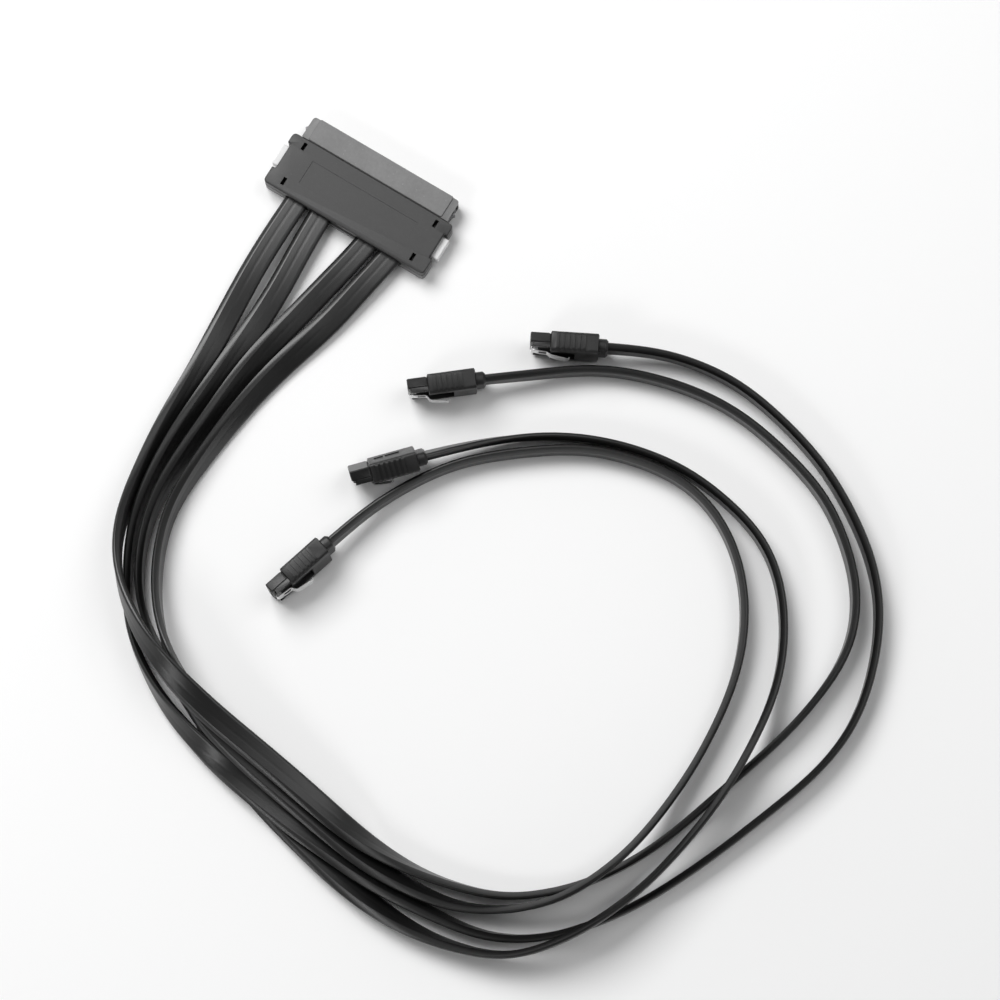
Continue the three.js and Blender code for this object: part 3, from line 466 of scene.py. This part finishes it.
def cable_section():
    """Half-width and half-thickness pairs around the section: two flat faces that dip along the
    middle, between the two pairs of cores, and two rounded edges."""
    half = CABLE_WIDTH / 2
    rise = CABLE_THICKNESS / 2
    bend = np.linspace(0, np.pi / 2, CABLE_ROUND_POINTS)
    edge_x = half - CABLE_EDGE_ROUND + CABLE_EDGE_ROUND * np.sin(bend)
    edge_y = rise - CABLE_EDGE_ROUND + CABLE_EDGE_ROUND * np.cos(bend)
    face_x = np.linspace(edge_x[0], -edge_x[0], CABLE_SIDE_POINTS + 2)[1:-1]
    dip = CABLE_GROOVE_DEPTH * np.exp(-((face_x / CABLE_GROOVE_WIDTH) ** 2))
    face_y = rise - dip
    top_x = np.concatenate((edge_x[::-1], face_x))
    top_y = np.concatenate((edge_y[::-1], face_y))
    return np.concatenate((np.stack((top_x, top_y), 1), np.stack((-top_x, -top_y), 1)))


def arc_fraction(section):
    """Share of the way around the section at which each of its points lies."""
    closed = np.vstack((section, section[:1]))
    steps = np.linalg.norm(np.diff(closed, axis=0), axis=1)
    return np.concatenate(([0], np.cumsum(steps)))[:-1] / steps.sum()


def dressed(source, name):
    """A merged copy of a CAD node's mesh, its flat faces joined, to be rounded at its edges."""
    mesh = bpy.data.meshes.new(name)
    work = bmesh.new()
    work.from_mesh(frame["nodes"][source].data)
    bmesh.ops.remove_doubles(work, verts=work.verts, dist=WELD_DISTANCE)
    bmesh.ops.dissolve_limit(work, angle_limit=np.radians(1.0), verts=work.verts, edges=work.edges)
    work.to_mesh(mesh)
    work.free()
    mesh.materials.clear()
    shade_by_angle(mesh, SHARP_ANGLE)
    return mesh


def round_edges(piece, width, segments):
    bevel = piece.modifiers.new("rounded edges", "BEVEL")
    bevel.width = width * MM
    bevel.segments = segments
    bevel.limit_method = "ANGLE"
    bevel.angle_limit = np.radians(ROUNDED_ANGLE)
    bevel.harden_normals = True
    bevel.use_clamp_overlap = True


def body_with(node):
    """The moving body that a CAD node belongs to."""
    for body, nodes in frame["record"]["behaviour"]["bodies"].items():
        if node in nodes:
            return body
    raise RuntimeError(f"no body holds {node}")


def dress(node, name, material, width, segments=2):
    """A piece made from a CAD node and put in its place, its edges rounded by width millimetres."""
    piece = show(name, dressed(node, name), material, body_with(node))
    round_edges(piece, width, segments)
    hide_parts(node)
    return piece


# Sizes and colours a user would change
class CableSettings(bpy.types.PropertyGroup):
    jacket_tone: bpy.props.FloatProperty(
        name="Jacket tone", description="How light the cable jacket is", default=0.006, min=0.0, max=1.0
    )
    ring_step: bpy.props.FloatProperty(
        name="Ring step", description="Distance between the rings of a cable's mesh",
        default=CABLE_RING_STEP * MM, min=0.0005, max=0.01, unit="LENGTH",
    )


class HousingSettings(bpy.types.PropertyGroup):
    cover_tone: bpy.props.FloatProperty(
        name="Cover tone", description="How light the upper cover is", default=0.034, min=0.0, max=1.0
    )
    nose_tone: bpy.props.FloatProperty(
        name="Nose tone", description="How light the mating nose is", default=0.17, min=0.0, max=1.0
    )
    # The lower shell's tone is partly its own grey and partly painted light: it is set lighter than the cover
    # to stand in for the bright light on its walls.
    shell_tone_with_painted_light: bpy.props.FloatProperty(
        name="Shell tone", description="How light the lower shell is", default=0.16, min=0.0, max=1.0
    )
    edge_round: bpy.props.FloatProperty(
        name="Edge rounding", description="Radius on the housing's edges", default=0.22 * MM,
        min=0.0, max=0.001, unit="LENGTH",
    )


class PlugSettings(bpy.types.PropertyGroup):
    overmould_tone: bpy.props.FloatProperty(
        name="Overmould tone", description="How light the plug bodies are", default=0.013, min=0.0, max=1.0
    )
    steel_tone: bpy.props.FloatVectorProperty(
        name="Steel", description="Colour of the latch springs", default=(0.92, 0.92, 0.92),
        size=3, subtype="COLOR", min=0.0, max=1.0,
    )
    brass_tone: bpy.props.FloatVectorProperty(
        name="Contacts", description="Colour of the plated contacts", default=(0.78, 0.56, 0.2),
        size=3, subtype="COLOR", min=0.0, max=1.0,
    )


class StageSettings(bpy.types.PropertyGroup):
    floor_tone: bpy.props.FloatProperty(
        name="Floor tone", description="How light the floor is", default=0.93, min=0.0, max=1.0
    )
    sky_strength: bpy.props.FloatProperty(
        name="Sky strength", description="Strength of the even light from all round",
        default=0.09, min=0.0, max=4.0,
    )
    horizon_strength: bpy.props.FloatProperty(
        name="Wall strength", description="Strength of the light from the studio's pale walls, low all round",
        default=0.8, min=0.0, max=8.0,
    )


class MakeStage(bpy.types.Operator):
    """Camera, floor, lamps and surroundings"""

    bl_idname = "breakout.stage"
    bl_label = "Stage"

    def execute(self, context):
        scene = context.scene
        settings = scene.breakout_stage
        place = Vector(CAMERA_PLACE) * MM
        look = (Vector(CAMERA_TARGET) * MM - place).normalized()
        right = Vector(CAMERA_RIGHT)
        right = (right - right.dot(look) * look).normalized()
        upward = right.cross(look)
        turned = Matrix((right, upward, -look)).transposed()
        lens = bpy.data.cameras.new("camera")
        lens.lens = CAMERA_LENS
        lens.sensor_width = 36.0
        lens.clip_start = 0.01
        camera = bpy.data.objects.new("camera", lens)
        camera.matrix_world = Matrix.Translation(place) @ turned.to_4x4()
        scene.collection.objects.link(camera)
        scene.camera = camera
        scene.view_settings.view_transform = "Standard"
        self.floor(scene, settings)
        self.lamps(scene, right, upward)
        self.surroundings(scene, settings)
        return {"FINISHED"}

    def floor(self, scene, settings):
        half = FLOOR_HALF
        mesh = bpy.data.meshes.new("floor")
        corners = [(-half, -half, 0), (half, -half, 0), (half, half, 0), (-half, half, 0)]
        mesh.from_pydata(corners, [], [(0, 1, 2, 3)])
        floor = bpy.data.objects.new("floor", mesh)
        scene.collection.objects.link(floor)
        finish = Finish("pale floor")
        finish.set(Base_Color=grey(settings.floor_tone), Roughness=0.8)
        mesh.materials.append(finish.material)

    def lamps(self, scene, right, upward):
        middle = Vector(CAMERA_TARGET) * MM
        for name, (across, along), height, size, power in SOFT_BOXES:
            light = bpy.data.lights.new(name, "AREA")
            light.shape = "SQUARE"
            light.size = size
            light.energy = power
            lamp = bpy.data.objects.new(name, light)
            flat_up = Vector((upward.x, upward.y, 0)).normalized()
            lamp.location = middle + right * across + flat_up * along + Vector((0, 0, height))
            aim = (middle - lamp.location).normalized()
            lamp.rotation_euler = aim.to_track_quat("-Z", "Y").to_euler()
            scene.collection.objects.link(lamp)

    def surroundings(self, scene, settings):
        world = bpy.data.worlds.new("studio")
        scene.world = world
        world.use_nodes = True
        tree = world.node_tree
        sky = tree.nodes["Background"]
        sky.inputs["Color"].default_value = (1.0, 1.0, 1.0, 1.0)
        toward = tree.nodes.new("ShaderNodeTexCoord")
        split = tree.nodes.new("ShaderNodeSeparateXYZ")
        tree.links.new(toward.outputs["Generated"], split.inputs[0])
        low = (1.0 - abs(Socket(tree, split.outputs["Z"]))) ** 3
        connect(tree, sky.inputs["Strength"], low * settings.horizon_strength + settings.sky_strength)


class MakeCables(bpy.types.Operator):
    """Four flat cables along their routes"""

    bl_idname = "breakout.cables"
    bl_label = "Flat cables"

    def execute(self, context):
        settings = context.scene.breakout_cables
        jacket = cable_jacket("cable jacket", settings.jacket_tone)
        section = cable_section()
        around = arc_fraction(section)
        for index, route in enumerate(ROUTES):
            number = index + 1
            line, width, face, lengths = route_frames(route, settings.ring_step / MM)
            rings = (
                line[:, None]
                + section[None, :, :1] * width[:, None]
                + section[None, :, 1:] * face[:, None]
            ) * MM
            mesh = tube_mesh(f"cable_{number}", rings[:, ::-1], lengths * MM, around[::-1])
            shade_by_angle(mesh, 50.0)
            piece = show(f"cable_{number}", mesh, jacket, "assembly")
            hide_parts(f"flat_cable_{number}")
            tuple(line[0] * MM)
            (line * MM).tolist()
        return {"FINISHED"}


class MakeHousing(bpy.types.Operator):
    """Cover, shell, mating nose, clamp bar and the parts inside the wide connector"""

    bl_idname = "breakout.housing"
    bl_label = "Wide connector"

    def execute(self, context):
        settings = context.scene.breakout_housing
        edge = settings.edge_round / MM
        cover = moulded_plastic("cover plastic", settings.cover_tone, 0.42)
        # Lower shell: partly its own grey, partly painted light, its tone set lighter for its lit walls.
        shell = moulded_plastic("shell plastic with painted light", settings.shell_tone_with_painted_light, 0.4)
        nose = moulded_plastic("nose plastic", settings.nose_tone, 0.45, 1.3, 0.2)
        bar = moulded_plastic("clamp plastic", 0.02, 0.5)
        cores = moulded_plastic("core insulation", 0.45, 0.45, 0.4)
        brass = brushed_metal("contact plating", tuple(context.scene.breakout_plugs.brass_tone), 0.3)
        dress("upper_cover", "cover", cover, edge)
        dress("lower_shell", "shell", shell, edge)
        dress("mating_nose", "nose", nose, edge)
        dress("cable_clamp_bar", "clamp_bar", bar, 0.15)
        for lane in range(1, 5):
            dress(f"lane_contacts_{lane}", f"contacts_{lane}", brass, 0.05, 1)
            dress(f"core_ends_{lane}", f"cores_{lane}", cores, 0.05, 1)
        return {"FINISHED"}


class MakeSideLatches(bpy.types.Operator):
    """The two pressed side latches with their pale thumb tabs"""

    bl_idname = "breakout.side_latches"
    bl_label = "Side latches"

    def execute(self, context):
        steel = brushed_metal("latch steel", (0.2, 0.2, 0.205), 0.4)
        pale = moulded_plastic("thumb tab", 0.72, 0.4, 0.5, 0.05)
        for side in ("right", "left"):
            dress(f"side_latch_{side}", f"latch_{side}", steel, 0.1)
            dress(f"thumb_tab_{side}", f"tab_{side}", pale, 0.25, 3)
        return {"FINISHED"}


class MakePlugs(bpy.types.Operator):
    """The four keyed plugs: overmould, nose, contacts and latch spring"""

    bl_idname = "breakout.plugs"
    bl_label = "Plugs"

    def execute(self, context):
        settings = context.scene.breakout_plugs
        rubber = moulded_plastic("overmould", settings.overmould_tone, 0.4, 1.6)
        plastic = moulded_plastic("plug nose plastic", settings.overmould_tone * 0.8, 0.33)
        steel = brushed_metal("spring steel", tuple(settings.steel_tone), 0.38)
        brass = brushed_metal("plug contact plating", tuple(settings.brass_tone), 0.3)
        for number in range(1, 5):
            body = dress(
                f"plug_{number}_overmould", f"plug_{number}_body", rubber, 0.3, 3
            )
            reshape(body, number, self.draw_in_ends)
            nose = dress(
                f"plug_{number}_contact_carrier", f"plug_{number}_nose", plastic, 0.12
            )
            reshape(nose, number, self.close_joint)
            self.spring(number, steel)
            contacts = f"plug_{number}_contacts"
            mesh = dressed(contacts, contacts + "_mesh")
            piece = show(f"plug_{number}_strip", mesh, brass, "assembly")
            round_edges(piece, 0.04, 1)
            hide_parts(contacts)
        return {"FINISHED"}

    def draw_in_ends(self, local):
        """Draws the rims of both end faces inward, so that the overmould's ends are well rounded."""
        rim = np.abs(np.abs(local[:, 0]) - PLUG_BODY_FRONT) < PLUG_RIM_TOLERANCE
        edges = zip((1, 2), (PLUG_RIM_HALF_THICKNESS, PLUG_RIM_HALF_WIDTH), PLUG_RIM_DRAWN_IN)
        for axis, reach, drawn_in in edges:
            outer = rim & (np.abs(local[:, axis]) > reach)
            local[outer, axis] -= np.sign(local[outer, axis]) * drawn_in

    def close_joint(self, local):
        """Carries the nose's rear face back to the overmould, over the assembly gap."""
        rear = np.abs(local[:, 0] - PLUG_BODY_FRONT - NOSE_GAP) < NOSE_GAP_TOLERANCE
        local[rear, 0] = PLUG_BODY_FRONT - NOSE_SUNK

    def spring(self, number, steel):
        """Latch spring: a strip folded back at the nose's tip, its free end over the overmould."""
        outer = PLUG_HALF_THICKNESS + PLUG_PLACES[number - 1][4]
        line = np.array((
            (11.7, SPRING_LOW), (12.6, SPRING_LOW), (13.4, SPRING_LOW), (13.72, SPRING_LOW + 0.3),
            (13.72, SPRING_LOW + 0.75), (13.4, SPRING_LOW + 1.05), (12.4, SPRING_LOW + 1.15),
            (10.4, SPRING_LOW + 1.4), (8.65, SPRING_LOW + 1.65), (7.6, outer - 1.0),
            (5.6, outer - 0.5), (3.3, outer - 0.1), (1.9, outer), (1.45, outer - 0.55),
        ))
        parameter = np.linspace(0, len(line) - 1, SPRING_SAMPLES * len(line))
        centre = catmull_rom(line, parameter)
        along = parameter / parameter[-1]
        # Narrow at the fold, full width on the arm, drawn in again at the bent end
        half = np.interp(
            along, (0, 0.28, 0.45, 0.5, 0.86, 0.9, 1), (1.5, 1.5, 2.2, 2.2, 2.2, 1.5, 1.5)
        )
        across = np.linspace(-1, 1, 9)
        grid = np.empty((len(centre), len(across), 3))
        grid[..., :2] = centre[:, None]
        grid[..., 2] = half[:, None] * across
        open_middle = (along[:-1] > 0.5) & (along[:-1] < 0.6)
        middle = np.abs(across[:-1] + 0.125) < 0.45
        keep = ~(open_middle[:, None] & middle[None, :])
        name = f"plug_{number}_spring"
        mesh = sheet_mesh(name, to_row(grid, number), keep)
        piece = show(name, mesh, steel, f"plug_{number}_latch")
        skin = piece.modifiers.new("strip thickness", "SOLIDIFY")
        skin.thickness = SPRING_STRIP * MM
        skin.offset = 0.0
        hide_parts(f"plug_{number}_latch_spring")


class BreakoutPanel(bpy.types.Panel):
    """Buttons and settings of the breakout cable"""

    bl_idname = "VIEW3D_PT_breakout"
    bl_label = "Breakout Cable"
    bl_space_type = "VIEW_3D"
    bl_region_type = "UI"
    bl_category = "Breakout Cable"

    def draw(self, context):
        scene = context.scene
        for name, kind in GROUPS.items():
            box = self.layout.box()
            for key in kind.__annotations__:
                box.prop(getattr(scene, name), key)
        for operator in OPERATORS:
            self.layout.operator(operator.bl_idname)


GROUPS = {
    "breakout_stage": StageSettings,
    "breakout_housing": HousingSettings,
    "breakout_cables": CableSettings,
    "breakout_plugs": PlugSettings,
}
OPERATORS = (MakeStage, MakeHousing, MakeSideLatches, MakePlugs, MakeCables)


def register():
    for name, group in GROUPS.items():
        bpy.utils.register_class(group)
        setattr(bpy.types.Scene, name, bpy.props.PointerProperty(type=group))
    for operator in OPERATORS:
        bpy.utils.register_class(operator)
    bpy.utils.register_class(BreakoutPanel)


def unregister():
    bpy.utils.unregister_class(BreakoutPanel)
    for operator in reversed(OPERATORS):
        bpy.utils.unregister_class(operator)
    for name, group in GROUPS.items():
        delattr(bpy.types.Scene, name)
        bpy.utils.unregister_class(group)


def main():
    register()
    bpy.ops.breakout.stage()
    bpy.ops.breakout.housing()
    bpy.ops.breakout.side_latches()
    bpy.ops.breakout.plugs()
    bpy.ops.breakout.cables()


if __name__ == "__main__":
    main()
